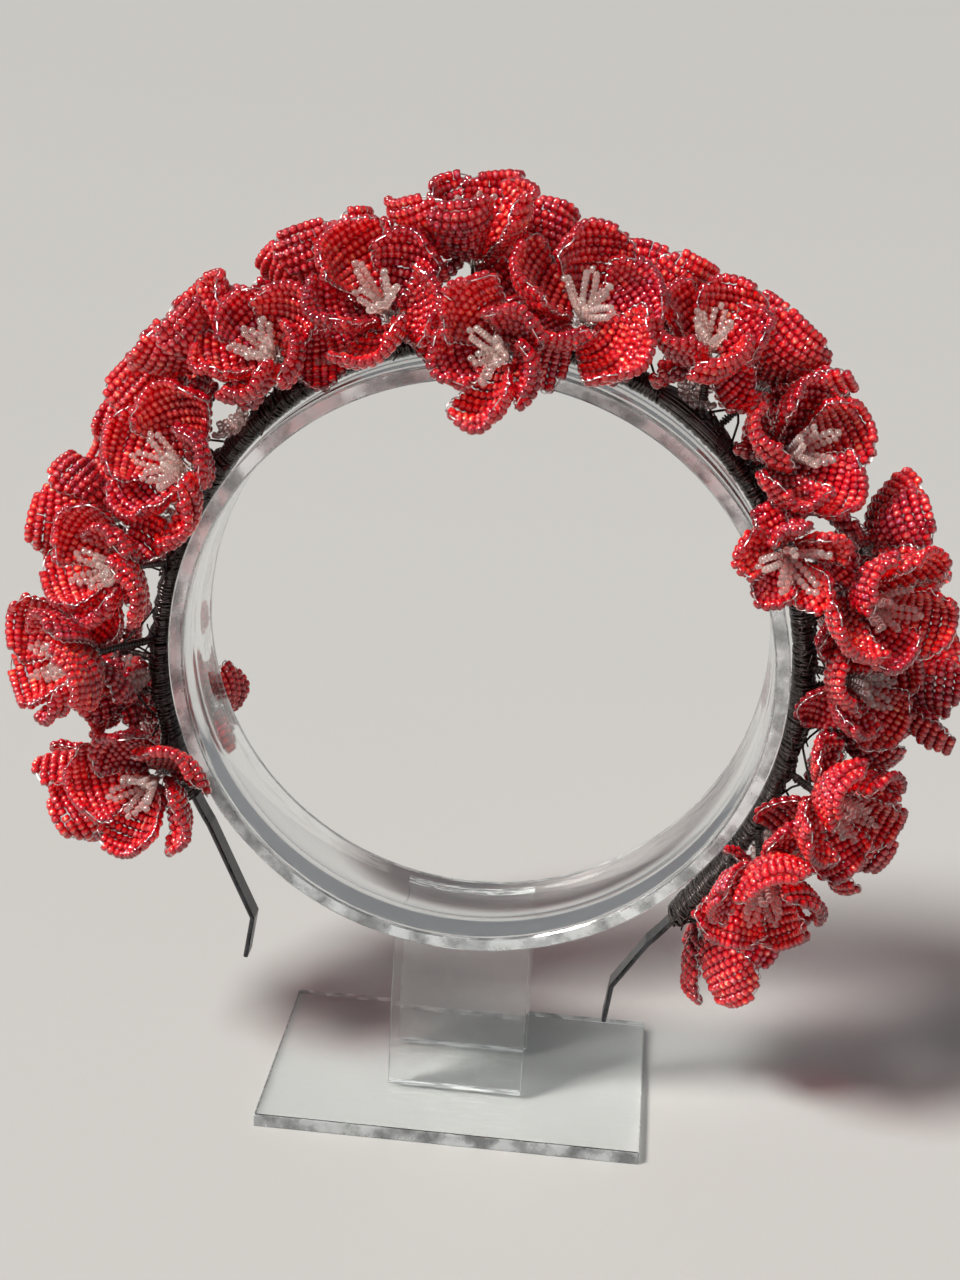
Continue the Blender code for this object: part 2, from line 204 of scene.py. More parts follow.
def flower_frame(row):
    """Place of a flower's hub, with its axis as local Z and its first petal along local X."""
    angle, lean, sway, stem, turn, _, _ = row
    lean, sway, turn = (math.radians(v) for v in (lean, sway, turn))
    out = outward(angle)
    along = Vector((out.z, 0, -out.x))
    front = Vector((0, -1, 0))
    axis = math.cos(sway) * (math.cos(lean) * out + math.sin(lean) * front) + math.sin(sway) * along
    first = axis.cross(along).normalized()
    side = axis.cross(first)
    x_axis = math.cos(turn) * first + math.sin(turn) * side
    y_axis = axis.cross(x_axis)
    root = (band_point(angle) + WRAP_HALF_THICK * math.cos(lean) * out
            + WRAP_HALF_WIDTH * math.sin(lean) * front)
    hub = root + stem * MM * axis
    place = Matrix((x_axis, y_axis, axis)).transposed().to_4x4()
    place.translation = hub
    return place, root


def petal_surface(number, petal, opening, size):
    """Functions for a point and for the bow of a petal's cup, its length and half its cup's arc."""
    opening = math.radians(opening + OPENING_VARIES * vary(number, petal, 1))
    curl = math.radians(PETAL_CURL)
    length = PETAL_LENGTH * size * (1 + SIZE_VARIES * vary(number, petal, 2))
    half = WIDER * PETAL_HALF_WIDTH * size * (1 + SIZE_VARIES * vary(number, petal, 3))
    half *= NARROW_PETALS if number == OPEN_FLOWER else 1
    twist = math.radians(PETAL_TWIST + TWIST_VARIES * vary(number, petal, 4))
    spin = Matrix.Rotation(math.tau * petal / PETALS, 3, "Z")
    cup = math.radians(PETAL_CUP)
    start = opening + curl
    bend = 2 * curl / length

    def bow(s, share):
        slope = start - 2 * curl * s
        out = PETAL_START + (math.cos(slope) - math.cos(start)) / bend
        height = (math.sin(start) - math.sin(slope)) / bend
        room = ROOM * out / (1 + ROOM * math.tan(cup / 2) * math.cos(slope))
        radius = min(half * share, room) / math.sin(cup)
        return slope, out, height, radius

    def place(s, share, angle, lift=0.0):
        """s is the share of the length, share that of the width, angle in radians round the arc."""
        slope, out, height, radius = bow(s, share)
        side = (radius - lift) * math.sin(angle)
        rise = radius - (radius - lift) * math.cos(angle)
        across = side * math.cos(twist) - rise * math.sin(twist)
        lifted = side * math.sin(twist) + rise * math.cos(twist)
        return spin @ Vector((out - lifted * math.cos(slope), across, height + lifted * math.sin(slope)))

    return place, bow, length, cup


def share_at(s):
    for (s0, w0), (s1, w1) in zip(PETAL_OUTLINE, PETAL_OUTLINE[1:]):
        if s <= s1:
            return w0 + (w1 - w0) * (s - s0) / (s1 - s0)
    return PETAL_OUTLINE[-1][1]


def loft_faces(loops, sides, capped=True):
    """Faces of a closed run of loops whose points are numbered loop by loop."""
    faces = []
    for k in range(loops - 1):
        for j in range(sides):
            a, b = k * sides + j, k * sides + (j + 1) % sides
            faces.append((a, b, b + sides, a + sides))
    if capped:
        faces.append(tuple(reversed(range(sides))))
        faces.append(tuple(range((loops - 1) * sides, loops * sides)))
    return faces


class Shape:
    """Collects points and faces of one piece, with a tone and painted light for each point."""

    def __init__(self):
        self.points, self.faces, self.tones, self.count = [], [], [], 0

    def add(self, points, faces, tones):
        points = np.asarray(points, dtype=float)
        self.faces.extend([tuple(i + self.count for i in face) for face in faces])
        self.points.append(points)
        self.tones.append(np.broadcast_to(np.asarray(tones, dtype=float), (len(points), 3)))
        self.count += len(points)

    def tube(self, line, radius, sides, capped=True):
        """A tube along points, with a frame carried from point to point."""
        line = [Vector(p) for p in line]
        runs = [(b - a).normalized() for a, b in zip(line, line[1:])]
        runs.append(runs[-1])
        up = Vector((0, 1, 0)) if abs(runs[0].y) < 0.9 else Vector((1, 0, 0))
        points = []
        for k, point in enumerate(line):
            run = (runs[k] + runs[max(k - 1, 0)]).normalized()
            up = (up - up.dot(run) * run).normalized()
            side = run.cross(up)
            for j in range(sides):
                turn = math.tau * j / sides
                points.append(point + radius * (math.cos(turn) * up + math.sin(turn) * side))
        self.add([tuple(p) for p in points], loft_faces(len(line), sides, capped), PLAIN_TONE)

    def piece(self, name, material, place=None, smooth=True):
        mesh = bpy.data.meshes.new(name)
        points = np.concatenate(self.points)
        if place is not None:
            m = np.array(place)
            points = points @ m[:3, :3].T + m[:3, 3]
        mesh.from_pydata(points.tolist(), [], self.faces)
        tone = mesh.attributes.new("ToneAndPaintedLight", "FLOAT_COLOR", "POINT")
        colours = np.concatenate([np.concatenate(self.tones), np.ones((self.count, 1))], axis=1)
        tone.data.foreach_set("color", colours.ravel())
        mesh.materials.append(material)
        if smooth:
            mesh.polygons.foreach_set("use_smooth", [True] * len(mesh.polygons))
        made = bpy.data.objects.new(name, mesh)
        bpy.context.collection.objects.link(made)
        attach(made, "root")
        return made


def bead_template(kind):
    """One bead with its hole along X: points, faces, and if a point is at an end, and its turn."""
    sides, profile = kind
    points, marks = [], []
    for k, (x, r) in enumerate(profile):
        for j in range(sides):
            turn = math.tau * j / sides
            points.append((x * BEAD_HALF_LENGTH,
                           r * BEAD_RADIUS * math.cos(turn), r * BEAD_RADIUS * math.sin(turn)))
            marks.append((k in (0, len(profile) - 1), turn))
    return np.array(points), loft_faces(len(profile), sides), marks


PETAL_TEMPLATE = bead_template(PETAL_BEAD)
STAMEN_TEMPLATE = bead_template(STAMEN_BEAD)


def add_bead(shape, template, centre, run, normal, depth, scale=1.0, shade=0.5):
    """A bead with its hole along run.

    In its tone and painted light, red is its own shade, which is darkened as painted shade on the low
    petals, green the painted glints round it, a painted highlight and glow brightest on the sides that face
    along the normal and halved at its ends as painted shade between beads, and blue the depth, which is how
    far along the petal or loop it is.
    """
    bead_points, faces, marks = template
    run = run.normalized()
    a = (normal - normal.dot(run) * run).normalized()
    b = run.cross(a)
    size = scale * rng.uniform(0.95, 1.04)
    basis = np.array((tuple(run * size * rng.uniform(0.94, 1.04)), tuple(a * size), tuple(b * size)))
    own = 0.55 * rng.random() + 0.45 * shade
    painted_glint_strength = rng.uniform(0.62, 1.0)
    tones = []
    # painted glint: a painted highlight and glow, strongest on the sides that face along the normal, halved
    # at the ends as painted shade where beads meet
    for at_end, turn in marks:
        painted_glint_level = painted_glint_strength * abs(math.cos(turn)) ** 1.5 + rng.uniform(-0.10, 0.10)
        if at_end:
            painted_glint_level *= 0.50
        tones.append((own, min(max(painted_glint_level, 0.0), 1.0), depth))
    shape.add(bead_points @ basis + np.array(centre), faces, tones)


def petal_rows(number, petal, opening, size):
    """Rows of a petal, each a list of (centre, run, normal) and its share of the length."""
    place, bow, length, cup = petal_surface(number, petal, opening, size)
    rows = []
    count = math.ceil((length - FIRST_ROW) / ROW_PITCH) + 1
    tilt = math.radians(4) * vary(number, petal, 5)
    for i in range(count):
        s = (FIRST_ROW + (length - FIRST_ROW) * i / (count - 1)) / length
        share = share_at(s)
        radius = bow(s, share)[3]
        beads = max(2, int(round(2 * cup * radius / BEAD_PITCH + 0.15 * vary(number, petal, 10 + i))))
        step = min(BEAD_PITCH / radius, 2 * cup / (beads - 0.6))
        row = []
        loose = UNEVEN * (0.35 + 0.65 * s ** 3)
        phase, waves = rng.uniform(0, math.tau), rng.uniform(0.9, 1.7)
        slide = rng.uniform(-0.3, 0.3) * step
        for j in range(beads):
            angle = (j - (beads - 1) / 2) * step + slide
            lean = tilt * angle / cup * radius / length
            lift = loose * math.sin(phase + waves * math.pi * j / beads)
            here = place(s + lean, share, angle, lift)
            near = place(s + lean, share, angle + 0.05, lift)
            under = place(s + lean, share, angle, lift - 1 * MM)
            row.append((here, near - here, under - here))
        rows.append((row, s))
    return rows


def in_the_way(point):
    """Whether a bead here would touch the tube or the winding."""
    x, y, z = point.x, point.y, point.z - RING_CENTRE_Z
    away, angle = math.hypot(x, z), math.degrees(math.atan2(x, z))
    if away < RING_OUTER + REACH:
        return abs(y) < RING_DEPTH / 2 + REACH
    return (away < band_radius(angle) + WRAP_HALF_THICK + REACH
            and abs(y - BAND_Y) < WRAP_HALF_WIDTH + REACH)


def make_petals(number, row):
    """A flower's beaded petals, with the two low ones, and the thin wires that hold them."""
    opening, size = row[-2:]
    place, _ = flower_frame(row)
    beads, wires = Shape(), Shape()
    for petal in range(PETALS):
        rows = petal_rows(number, petal, opening, size)
        shade = 0.5 + 0.5 * vary(number, petal, 13)
        for line, s in rows:
            for centre, run, normal in line:
                jitter = Vector([rng.uniform(-BEAD_JITTER, BEAD_JITTER) for _ in range(3)])
                add_bead(beads, PETAL_TEMPLATE, centre + jitter, run, normal, s, shade=shade)
        edge_wires(wires, rows)
    # two smaller petals under the flower, along the band
    back = place.inverted().to_3x3()
    out = outward(row[0])
    for k, side in enumerate((-1, 1)):
        along = back @ (side * Vector((out.z, 0, -out.x)) + 0.35 * Vector((0, -1, 0)))
        low = LOW_OPENING + LOW_VARIES * vary(number, k, 11)
        rows = petal_rows(number, PETALS + k, low, size * LOW_SIZE)
        turn = Matrix.Rotation(math.atan2(along.y, along.x) - math.tau * k / PETALS, 3, "Z")
        rows = [([tuple(turn @ part for part in bead) for bead in line], s) for line, s in rows]
        free = [not any(in_the_way(place @ bead[0]) for bead in line) for line, _ in rows]
        rows = rows[:free.index(False)] if False in free else rows
        if len(rows) < FEWEST_ROWS:
            continue
        # the low petals' beads get a fixed dark tone, painted shade under the flower
        for line, s in rows:
            for centre, run, normal in line:
                add_bead(beads, PETAL_TEMPLATE, centre, run, normal, s, shade=LOW_PAINTED_SHADE)
        edge_wires(wires, rows)
    # knot of petal wires under the flower
    for k in range(PETALS * 2):
        turn = math.tau * k / (PETALS * 2) + 0.2
        wires.tube([(0.9 * MM * math.cos(turn), 0.9 * MM * math.sin(turn), 0.6 * MM),
                    (1.15 * MM * math.cos(turn + 0.5), 1.15 * MM * math.sin(turn + 0.5), -0.7 * MM),
                    (0.5 * MM * math.cos(turn + 1.2), 0.5 * MM * math.sin(turn + 1.2), -2.2 * MM)],
                   0.2 * MM, 4)
    made = beads.piece(f"petals_{number:02d}", ruby, place)
    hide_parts(f"flower_{number:02d}")
    made = wires.piece(f"edge_wires_{number:02d}", silver_wire, place)


def edge_wires(shape, rows):
    """Thin wire that leaves one row at its end and enters the next, on both edges of a petal."""
    for (low, _), (high, _) in zip(rows, rows[1:]):
        for end, sign in ((0, -1), (-1, 1)):
            low_centre, out_low, _ = low[end]
            high_centre, out_high, _ = high[end]
            out_low, out_high = out_low.normalized() * sign, out_high.normalized() * sign
            a = low_centre + out_low * BEAD_HALF_LENGTH
            b = high_centre + out_high * BEAD_HALF_LENGTH
            line = [a, a * 0.75 + b * 0.25 + out_low * EDGE_BULGE,
                    a * 0.25 + b * 0.75 + out_high * EDGE_BULGE, b]
            shape.tube(line, EDGE_WIRE, 4, capped=False)
    first, _ = rows[0]
    for end in (0, -1):
        foot = first[end][0]
        bend = Vector((foot.x * 0.4, foot.y * 0.4, -0.4 * MM))
        shape.tube([foot, bend, Vector((0, 0, -HUB_DROP - 1 * MM))], EDGE_WIRE * 1.3, 4, capped=False)


def make_stem(number, row):
    """Twisted strands wound with black wire, from the hub to the band."""
    place, root = flower_frame(row)
    length = (root - place.translation).length
    shape = Shape()
    foot = -length + 0.2 * MM
    shape.tube([(0, 0, -0.6 * MM), (0, 0, foot)], STEM_RADIUS - 0.45 * MM, 6)
    turns = (length - 1.6 * MM) / STEM_PITCH
    steps = int(turns * 9)
    phase = rng.uniform(0, math.tau)
    line = []
    for k in range(steps + 1):
        share = k / steps
        turn = phase + math.tau * turns * share
        r = (STEM_RADIUS - 0.24 * MM) * (1 + 0.10 * math.sin(5.1 * share * turns / 3 + phase))
        line.append((r * math.cos(turn), r * math.sin(turn), -1.4 * MM + (foot + 1.4 * MM) * share))
    shape.tube(line, STEM_WIRE, 4)
    # ends of the winding wire that brace the stem against the band
    back = place.inverted()
    for side in (-1, 1):
        high = place @ Vector((0, 0, -length * rng.uniform(0.25, 0.6)))
        foot_angle = row[0] + side * rng.uniform(2.5, 6)
        low = band_point(foot_angle) + 0.8 * WRAP_HALF_THICK * outward(foot_angle)
        middle = (high + low) / 2 + 0.8 * MM * Vector([rng.uniform(-1, 1) for _ in range(3)])
        shape.tube([back @ high, back @ middle, back @ low], BRACE, 5)
    made = shape.piece(f"stem_{number:02d}", black_wire, place)


def make_stamens(number, row):
    """Loops of clear beads: two strands side by side, closed by one bead at the tip."""
    size = row[-1]
    place, _ = flower_frame(row)
    low = HUB_TOP + GAP + STAMEN_FOOT_HEIGHT
    beads = Shape()
    for k in range(STAMENS):
        lean = math.radians(STAMEN_SPREAD + SPREAD_VARIES * vary(number, k, 7))
        length = STAMEN_LENGTH * size * (1 - LOOP_SHORTENS + LOOP_SHORTENS * vary(number, k, 8))
        lean *= STAMEN_LEAN
        if number == OPEN_FLOWER:
            lean, length = lean * WIDE_STAMENS, length * LONG_STAMENS
        tilt = (Matrix.Rotation(math.tau * k / STAMENS, 3, "Z") @ Matrix.Rotation(lean, 3, "Y")
                @ Matrix.Rotation(0.7 * vary(number, k, 9), 3, "Z"))
        count = int(round((length - 1.2 * MM) / STAMEN_PITCH))
        middle = Vector((0, 0, low))
        across = tilt @ Vector((1, 0, 0))
        for side in (-1, 1):
            for j in range(count):
                share = (j + 0.5) / count
                spread = STAMEN_STRANDS * (0.40 + 0.60 * math.sin(math.pi * min(1.0, share * 1.15) * 0.62))
                bow = 0.35 * MM * math.sin(3 * share + k)
                centre = Vector((bow, side * spread, share * (length - 1.3 * MM)))
                run = tilt @ Vector((0, side * 0.12, 1))
                add_bead(beads, STAMEN_TEMPLATE, middle + tilt @ centre, run, across, share, STAMEN_SCALE)
        tip = middle + tilt @ Vector((0, 0, length - 0.75 * MM))
        add_bead(beads, STAMEN_TEMPLATE, tip, tilt @ Vector((0, 1, 0)), across, 1.0, STAMEN_SCALE)
    made = beads.piece(f"stamen_beads_{number:02d}", crystal, place)
    if row[1] > TUFT_LEAN:
        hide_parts(f"stamens_{number:02d}")


def make_side_tufts():
    """Loops of clear beads that stand straight on the winding between the flowers."""
    beads = Shape()
    for angle, lean, loops in SIDE_TUFTS:
        out = outward(angle)
        along = Vector((out.z, 0, -out.x))
        front = Vector((0, -1, 0))
        for k in range(loops):
            sway = math.radians(TUFT_FAN * (2 * (k + 0.5) / loops - 1) + rng.uniform(-6, 6))
            rise = math.radians(lean + rng.uniform(-14, 14))
            run = (math.cos(sway) * (math.cos(rise) * out + math.sin(rise) * front)
                   + math.sin(sway) * along)
            across = run.cross(out.cross(run)).normalized()
            side_way = run.cross(across)
            foot = (band_point(angle) + 0.6 * MM * (k - loops / 2) * along
                    + (WRAP_HALF_THICK + 0.8 * MM) * math.cos(rise) * out
                    + (WRAP_HALF_WIDTH + 0.8 * MM) * math.sin(rise) * front)
            for side in (-1, 1):
                for j in range(TUFT_BEADS):
                    share = (j + 0.5) / TUFT_BEADS
                    spread = STAMEN_STRANDS * math.sin(math.pi * (0.15 + 0.62 * share))
                    centre = foot + run * (TUFT_BEADS * STAMEN_PITCH * share) + side * spread * side_way
                    add_bead(beads, STAMEN_TEMPLATE, centre, run, across, share, STAMEN_SCALE)
            tip = foot + run * (TUFT_BEADS + 0.3) * STAMEN_PITCH
            add_bead(beads, STAMEN_TEMPLATE, tip, side_way, across, 1.0, STAMEN_SCALE)
    made = beads.piece("side_tufts", crystal)


def add_collar(shape, angle):
    """A few heavier turns over the winding, and wire ends that stick out of it."""
    degree = math.radians(1) * band_radius(angle)
    steps = COLLAR_TURNS * 12
    phase = rng.uniform(0, math.tau)
    line = []
    for k in range(steps + 1):
        share = k / steps
        turn = phase + math.tau * COLLAR_TURNS * share
        a = angle + (2 * share - 1 + 0.10 * math.sin(1.7 * turn)) * COLLAR_HALF_LENGTH / degree
        a = min(max(a, WRAP_FROM), WRAP_TO)
        lift = 0.45 * MM * math.sin(math.pi * share) + 0.10 * MM * math.sin(2.3 * turn)
        thick = WRAP_HALF_THICK + (lift if math.cos(turn) > 0 else -0.2 * MM)
        line.append(round_band(a, turn, thick, WRAP_HALF_WIDTH + lift))
    shape.tube(line, WIRE, 4)
    for k in range(WIRE_ENDS):
        turn = math.radians(rng.uniform(-20, 110))
        reach = rng.choice((-1, 1)) * rng.uniform(2.0, 4.4) * MM
        line = []
        for j in range(6):
            share = j / 5
            a = min(max(angle + reach * (share - 0.2) / degree, WRAP_FROM), WRAP_TO)
            here = turn + 0.35 * share * (-1) ** k
            lift = 0.3 * MM + rng.uniform(0.5, 1.2) * MM * share ** 2
            line.append(round_band(a, here, WRAP_HALF_THICK + lift, -(WRAP_HALF_WIDTH + lift)))
        shape.tube(line, WIRE * 0.7, 3)


def make_winding():
    """Black wire wound closely round the band, with a loose second layer that ties the stems on."""
    shape = Shape()
    start, end = WRAP_FROM, WRAP_TO
    # a smooth core, so that nothing shows through between the turns
    sides = 12
    angles = [start + (end - start) * k / 176 for k in range(177)]
    thick, wide = WRAP_HALF_THICK - 0.5 * MM, WRAP_HALF_WIDTH - 0.5 * MM
    points = [tuple(round_band(a, math.tau * j / sides, thick, wide)) for a in angles for j in range(sides)]
    shape.add(points, loft_faces(len(angles), sides), PLAIN_TONE)
    degree = math.radians(1) * WINDING_RADIUS
    # the close first layer
    turns = (end - start) * degree / WIND_PITCH
    steps = int(turns * 11)
    line = []
    for k in range(steps + 1):
        share = k / steps
        turn = math.tau * turns * share
        wobble = 0.35 * math.sin(turn * 0.37) * math.sin(turn * 0.113)
        a = start + (end - start) * share + wobble * WIND_PITCH / degree
        a = min(max(a, start), end)
        bump = 1 + 0.05 * math.sin(0.61 * turn / 3) + 0.04 * math.sin(turn * 0.23 + 1)
        inner = math.cos(turn) < 0
        thick = (WRAP_HALF_THICK - WIRE) * (1.0 if inner else bump)
        wide = (WRAP_HALF_WIDTH - WIRE) * bump * 0.97
        line.append(round_band(a, turn, thick, wide))
    shape.tube(line, WIRE, 5)
    # the loose second layer
    line = []
    turns = (end - start) * degree / LOOSE_PITCH
    steps = int(turns * 12)
    for k in range(steps + 1):
        share = k / steps
        turn = -math.tau * turns * share
        a = start + (end - start) * share + 1.6 * math.sin(turn * 0.31)
        a = min(max(a, start), end)
        lift = 0.0 if math.cos(turn) < 0 else 0.35 * MM
        thick = WRAP_HALF_THICK - WIRE + lift
        wide = WRAP_HALF_WIDTH - WIRE + 0.3 * MM
        line.append(round_band(a, turn, thick, wide))
    shape.tube(line, WIRE * 0.85, 5)
    for row in FLOWERS:
        add_collar(shape, row[0])
    # flower wires that lie along the band, where the winding leaves off for a stretch
    for k in range(LAID_WIRES):
        turn = math.radians(-12 + 128 * k / (LAID_WIRES - 1))
        line = []
        for j in range(19):
            share = j / 18
            a = LAID_FROM + (LAID_TO - LAID_FROM) * share + rng.uniform(-0.1, 0.1)
            here = turn + 0.12 * math.sin(2.2 * share + k)
            lift = 0.30 * MM - 1.1 * MM * (2 * share - 1) ** 4
            line.append(round_band(a, here, WRAP_HALF_THICK + lift, -(WRAP_HALF_WIDTH + lift)))
        shape.tube(line, WIRE * 1.1, 5)
    made = shape.piece("winding", black_wire)
    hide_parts("wire_wrap")


def make_band():
    """The flat band with rounded edges, bare at its two kinked ends."""
    first, last = BAND_RUN[0][0], BAND_RUN[-1][0]
    arc = [band_point(first + (last - first) * k / 184) for k in range(185)]
    legs = [[Vector((x * MM, BAND_Y, RING_CENTRE_Z + z * MM)) for x, z in leg]
            for leg in (LEFT_LEG, RIGHT_LEG)]
    line = [legs[0][1], legs[0][0]] + arc + legs[1]
    half_wide, half_thick, soft = BAND_WIDTH / 2, BAND_THICK / 2, 0.3 * MM
    outline = []
    for sy, sx in ((1, 1), (-1, 1), (-1, -1), (1, -1)):
        pair = [(sy * half_wide, sx * (half_thick - soft)), (sy * (half_wide - soft), sx * half_thick)]
        outline.extend(pair if sy * sx > 0 else reversed(pair))
    points = []
    for k, point in enumerate(line):
        before, after = line[max(k - 1, 0)], line[min(k + 1, len(line) - 1)]
        one = (point - before).normalized() if k else (after - point).normalized()
        two = (after - point).normalized() if k + 1 < len(line) else one
        run = (one + two).normalized()
        across = Vector((-run.z, 0, run.x)) / max(run.dot(one), 0.5)
        for y, x in outline:
            points.append(tuple(point + x * across + Vector((0, y, 0))))
    shape = Shape()
    shape.add(points, loft_faces(len(line), len(outline)), PLAIN_TONE)
    made = shape.piece("band", black_steel, smooth=False)
    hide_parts("metal_band")


# Stand

def add_piece(name, shape, material, node):
    """An acrylic piece in place of a node."""
    bmesh.ops.recalc_face_normals(shape, faces=shape.faces)
    mesh = bpy.data.meshes.new(name)
    shape.to_mesh(mesh)
    shape.free()
    mesh.materials.append(material)
    made = bpy.data.objects.new(name, mesh)
    bpy.context.collection.objects.link(made)
    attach(made, "root")
    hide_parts(node)
    return made


def bevel(shape, width):
    """Softens the sharp edges."""
    sharp = [e for e in shape.edges if len(e.link_faces) == 2 and e.calc_face_angle() > math.radians(40)]
    bmesh.ops.bevel(shape, geom=sharp, offset=width, segments=2, affect="EDGES", profile=0.5)


def make_tube():
    shape = bmesh.new()
    steps = 192
    half = RING_DEPTH / 2
    soft = 0.35 * MM
    inner = RING_OUTER - RING_WALL
    corners = ((RING_OUTER, -half + soft), (RING_OUTER, half - soft),
               (RING_OUTER - soft, half), (inner + soft, half),
               (inner, half - soft), (inner, -half + soft),
               (inner + soft, -half), (RING_OUTER - soft, -half))
    loops = []
    for k in range(steps):
        turn = math.tau * k / steps
        loops.append([shape.verts.new((r * math.sin(turn), y, RING_CENTRE_Z + r * math.cos(turn)))
                      for r, y in corners])
    n = len(corners)
    for k, loop in enumerate(loops):
        after = loops[(k + 1) % steps]
        for j in range(n):
            face = shape.faces.new((loop[j], loop[(j + 1) % n], after[(j + 1) % n], after[j]))
            face.smooth = j in (0, 4)
            face.material_index = 1 if j in (2, 6) else 0
    made = add_piece("tube", shape, acrylic, "display_ring")
    made.data.materials.append(acrylic_rim)


def make_cradle(name, node, y):
    seat = RING_OUTER + GAP
    half = CRADLE_WIDTH / 2
    steps = 32
    outline = [(-half, SHEET + GAP), (half, SHEET + GAP)]
    for k in range(steps + 1):
        x = half - CRADLE_WIDTH * k / steps
        outline.append((x, RING_CENTRE_Z - math.sqrt(seat ** 2 - x ** 2)))
    shape = bmesh.new()
    loops = [[shape.verts.new((x, side, z)) for x, z in outline] for side in (y - SHEET / 2, y + SHEET / 2)]
    n = len(outline)
    for k in range(n):
        shape.faces.new((loops[0][k], loops[0][(k + 1) % n], loops[1][(k + 1) % n], loops[1][k]))
    shape.faces.new(loops[0])
    shape.faces.new(list(reversed(loops[1])))
    bevel(shape, 0.25 * MM)
    for face in shape.faces:
        face.material_index = 0 if abs(face.normal.y) > 0.9 else 1
    add_piece(name, shape, acrylic, node).data.materials.append(acrylic_rim)


def make_base():
    shape = bmesh.new()
    bmesh.ops.create_cube(shape, size=1)
    bmesh.ops.scale(shape, verts=shape.verts, vec=(BASE_WIDTH, BASE_DEPTH, SHEET))
    bmesh.ops.translate(shape, verts=shape.verts, vec=(0, 0, SHEET / 2))
    bevel(shape, 0.3 * MM)
    for face in shape.faces:
        face.material_index = 0 if abs(face.normal.z) > 0.9 else 1
    add_piece("base", shape, acrylic, "display_base").data.materials.append(acrylic_rim)


# Materials

def node_material(name):
    made = bpy.data.materials.new(name)
    made.use_nodes = True
    tree = made.node_tree
    return made, tree, tree.nodes["Principled BSDF"]


def add_node(tree, kind, **values):
    made = tree.nodes.new(kind)
    for key, value in values.items():
        if key in made.inputs:
            made.inputs[key].default_value = value
        else:
            setattr(made, key, value)
    return made


def ramp(tree, stops):
    made = tree.nodes.new("ShaderNodeValToRGB")
    while len(made.color_ramp.elements) < len(stops):
        made.color_ramp.elements.new(0.5)
    for element, (at, colour) in zip(made.color_ramp.elements, stops):
        element.position = at
        element.color = (*colour, 1)
    return made


def let_light_through(tree, shader, tint):
    """Lamps shine through the glass with this tint, as they do through real glass."""
    through = add_node(tree, "ShaderNodeBsdfTransparent", Color=(*tint, 1))
    path = add_node(tree, "ShaderNodeLightPath")
    mix = add_node(tree, "ShaderNodeMixShader")
    tree.links.new(path.outputs["Is Shadow Ray"], mix.inputs["Fac"])
    tree.links.new(shader.outputs["BSDF"], mix.inputs[1])
    tree.links.new(through.outputs["BSDF"], mix.inputs[2])
    tree.links.new(mix.outputs["Shader"], tree.nodes["Material Output"].inputs["Surface"])


def make_ruby():
    made, tree, shader = node_material("ruby_glass")
    link = tree.links.new
    tone = add_node(tree, "ShaderNodeVertexColor", layer_name="ToneAndPaintedLight")
    split = add_node(tree, "ShaderNodeSeparateColor")
    link(tone.outputs["Color"], split.inputs["Color"])
    # painted glints: the green channel runs from dark red to bright orange and pink, a painted highlight
    # and glow on each bead
    painted_glint = ramp(tree, ((0.0, (0.24, 0.0, 0.004)), (0.36, (0.58, 0.001, 0.010)),
                        (0.62, (0.94, 0.012, 0.014)), (0.82, (1.0, 0.30, 0.22)), (0.97, (1.0, 0.62, 0.50))))
    link(split.outputs["Green"], painted_glint.inputs["Fac"])
    own = ramp(tree, ((0.1, (0.62, 0.50, 1.30)), (0.5, (0.94, 0.92, 0.95)), (0.9, (1.12, 1.25, 0.80))))
    link(split.outputs["Red"], own.inputs["Fac"])
    mix = add_node(tree, "ShaderNodeMix", data_type="RGBA", blend_type="MULTIPLY")
    mix.inputs["Factor"].default_value = 1.0
    link(painted_glint.outputs["Color"], mix.inputs["A"])
    link(own.outputs["Color"], mix.inputs["B"])
    # painted shade in the cup: beads near the hub are darkened by their depth along the petal
    painted_cup_shade = ramp(tree, ((0.08, (0.52, 0.42, 0.50)), (0.40, (0.86, 0.82, 0.86)), (0.62, (1.0, 1.0, 1.0))))
    link(split.outputs["Blue"], painted_cup_shade.inputs["Fac"])
    both = add_node(tree, "ShaderNodeMix", data_type="RGBA", blend_type="MULTIPLY")
    both.inputs["Factor"].default_value = 1.0
    link(mix.outputs["Result"], both.inputs["A"])
    link(painted_cup_shade.outputs["Color"], both.inputs["B"])
    link(both.outputs["Result"], shader.inputs["Base Color"])
    shader.inputs["Roughness"].default_value = 0.06
    shader.inputs["IOR"].default_value = 1.52
    shader.inputs["Transmission Weight"].default_value = 0.45
    shader.inputs["Coat Weight"].default_value = 0.9
    shader.inputs["Coat Roughness"].default_value = 0.03
    let_light_through(tree, shader, (0.60, 0.03, 0.03))
    return made


def make_crystal():
    made, tree, shader = node_material("clear_glass_beads")
    link = tree.links.new
    tone = add_node(tree, "ShaderNodeVertexColor", layer_name="ToneAndPaintedLight")
    split = add_node(tree, "ShaderNodeSeparateColor")
    link(tone.outputs["Color"], split.inputs["Color"])
    # painted glints: the green channel runs from grey pink to near white, a painted highlight on each clear
    # bead
    painted_glint = ramp(tree, ((0.0, (0.56, 0.46, 0.43)), (0.45, (0.92, 0.83, 0.80)), (0.8, (1.0, 0.98, 0.96))))
    link(split.outputs["Green"], painted_glint.inputs["Fac"])
    link(painted_glint.outputs["Color"], shader.inputs["Base Color"])
    shader.inputs["Roughness"].default_value = 0.04
    shader.inputs["IOR"].default_value = 1.5
    shader.inputs["Transmission Weight"].default_value = 0.9
    shader.inputs["Coat Weight"].default_value = 0.5
    shader.inputs["Coat Roughness"].default_value = 0.04
    let_light_through(tree, shader, (0.85, 0.82, 0.80))
    return made


